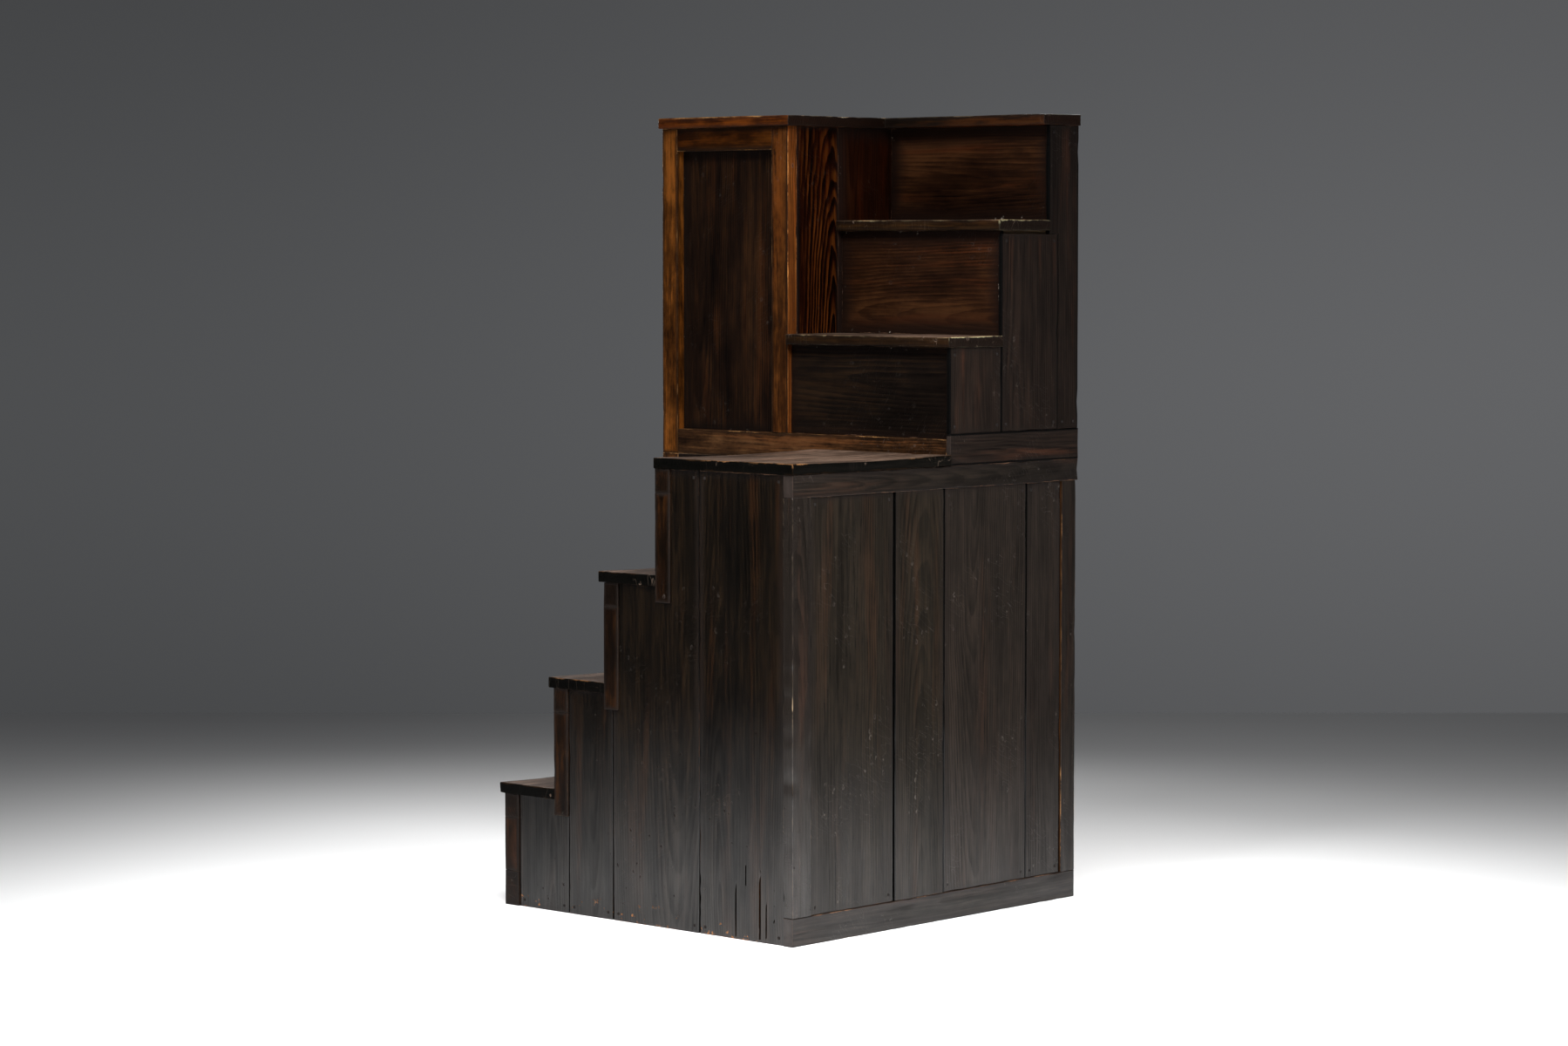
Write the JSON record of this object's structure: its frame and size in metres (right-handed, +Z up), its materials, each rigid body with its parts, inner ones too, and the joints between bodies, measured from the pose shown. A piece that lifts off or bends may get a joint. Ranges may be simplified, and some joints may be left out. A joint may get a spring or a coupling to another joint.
{
  "type": "corner step chest",
  "caption": "Wooden corner step chest in two stacked sections: a flight of worn treads that turns left at a platform, with sliding doors and drawers on the room side.",
  "frame": {"origin": "middle of the bounding box, on the floor", "axes": "+X towards the room side with the doors and drawers, +Y towards the foot of the lower flight, +Z up"},
  "size_m": [0.9896, 0.906, 1.803],
  "materials": {
    "wall_side_wood": "dark worn lacquer, satin",
    "frame_wood": "worn lacquer, satin",
    "panel_wood": "clear lacquer over dark stain, satin",
    "tread_wood": "worn by feet, satin",
    "door_wood": "lacquered, satin",
    "inner_wood": "bare, aged",
    "iron": "black, matte"
  },
  "bodies": {
    "chest": {"cleats_and_bearers": "inner_wood", "cupboard_floor": "inner_wood", "drawer_floor": "inner_wood", "end_panels": "panel_wood", "end_rails": "frame_wood", "left_plank_1": "wall_side_wood", "left_plank_2": "wall_side_wood", "left_plank_3": "wall_side_wood", "left_plank_4": "wall_side_wood", "lower_posts": "wall_side_wood", "lower_room_frame": "frame_wood", "lower_top_boards": "inner_wood", "near_corner_post": "wall_side_wood", "niche_board_1": "panel_wood", "niche_board_2": "panel_wood", "niche_stile": "frame_wood", "plank_nails": "iron", "platform": "tread_wood", "right_bottom_rail": "wall_side_wood", "right_plank_1": "wall_side_wood", "right_plank_2": "wall_side_wood", "right_plank_3": "wall_side_wood", "right_plank_4": "wall_side_wood", "right_top_rail": "wall_side_wood", "riser_frames": "frame_wood", "riser_panels": "panel_wood", "stair_wall_boards": "inner_wood", "top_boards": "tread_wood", "tread_1": "tread_wood", "tread_2": "tread_wood", "tread_3": "tread_wood", "upper_corner_post": "frame_wood", "upper_floor": "inner_wood", "upper_front_bottom_rail": "frame_wood", "upper_front_panel": "panel_wood", "upper_front_top_rail": "frame_wood", "upper_rear_board": "wall_side_wood", "upper_right_plank_1": "wall_side_wood", "upper_right_plank_2": "wall_side_wood", "upper_right_rail": "wall_side_wood", "upper_riser_panel_1": "panel_wood", "upper_riser_panel_2": "panel_wood", "upper_riser_panel_3": "panel_wood", "upper_room_frame": "frame_wood", "upper_tread_1": "tread_wood", "upper_tread_2": "tread_wood"},
    "drawer_near": {"drawer_near": "door_wood", "drawer_near_pull_posts": "iron"},
    "drawer_near_bail": {"drawer_near_bail": "iron"},
    "drawer_far": {"drawer_far": "door_wood", "drawer_far_pull_posts": "iron"},
    "drawer_far_bail": {"drawer_far_bail": "iron"},
    "lower_door_front": {"lower_door_front": "door_wood", "lower_door_front_finger_cup": "iron"},
    "lower_door_back": {"lower_door_back": "door_wood", "lower_door_back_finger_cup": "iron"},
    "upper_door_front": {"upper_door_front": "door_wood", "upper_door_front_finger_cup": "iron"},
    "upper_door_back": {"upper_door_back": "door_wood", "upper_door_back_finger_cup": "iron"}
  },
  "joints": [
    {"name": "drawer_near_slide", "type": "slide", "parent": "chest", "child": "drawer_near", "axis": [1, 0, 0], "range_m": [0, 0.3]},
    {"name": "drawer_far_slide", "type": "slide", "parent": "chest", "child": "drawer_far", "axis": [1, 0, 0], "range_m": [0, 0.3]},
    {"name": "drawer_near_bail_hinge", "type": "hinge", "parent": "drawer_near", "child": "drawer_near_bail", "pos_m": [0.4888, -0.211, 0.1977], "axis": [0, -1, 0], "range_deg": [-12, 190]},
    {"name": "drawer_far_bail_hinge", "type": "hinge", "parent": "drawer_far", "child": "drawer_far_bail", "pos_m": [0.4888, 0.199, 0.1977], "axis": [0, -1, 0], "range_deg": [-12, 190]},
    {"name": "lower_door_front_slide", "type": "slide", "parent": "chest", "child": "lower_door_front", "axis": [0, -1, 0], "range_m": [0, 0.374]},
    {"name": "lower_door_back_slide", "type": "slide", "parent": "chest", "child": "lower_door_back", "axis": [0, 1, 0], "range_m": [0, 0.374]},
    {"name": "upper_door_front_slide", "type": "slide", "parent": "chest", "child": "upper_door_front", "axis": [0, -1, 0], "range_m": [0, 0.374]},
    {"name": "upper_door_back_slide", "type": "slide", "parent": "chest", "child": "upper_door_back", "axis": [0, 1, 0], "range_m": [0, 0.374]}
  ]
}
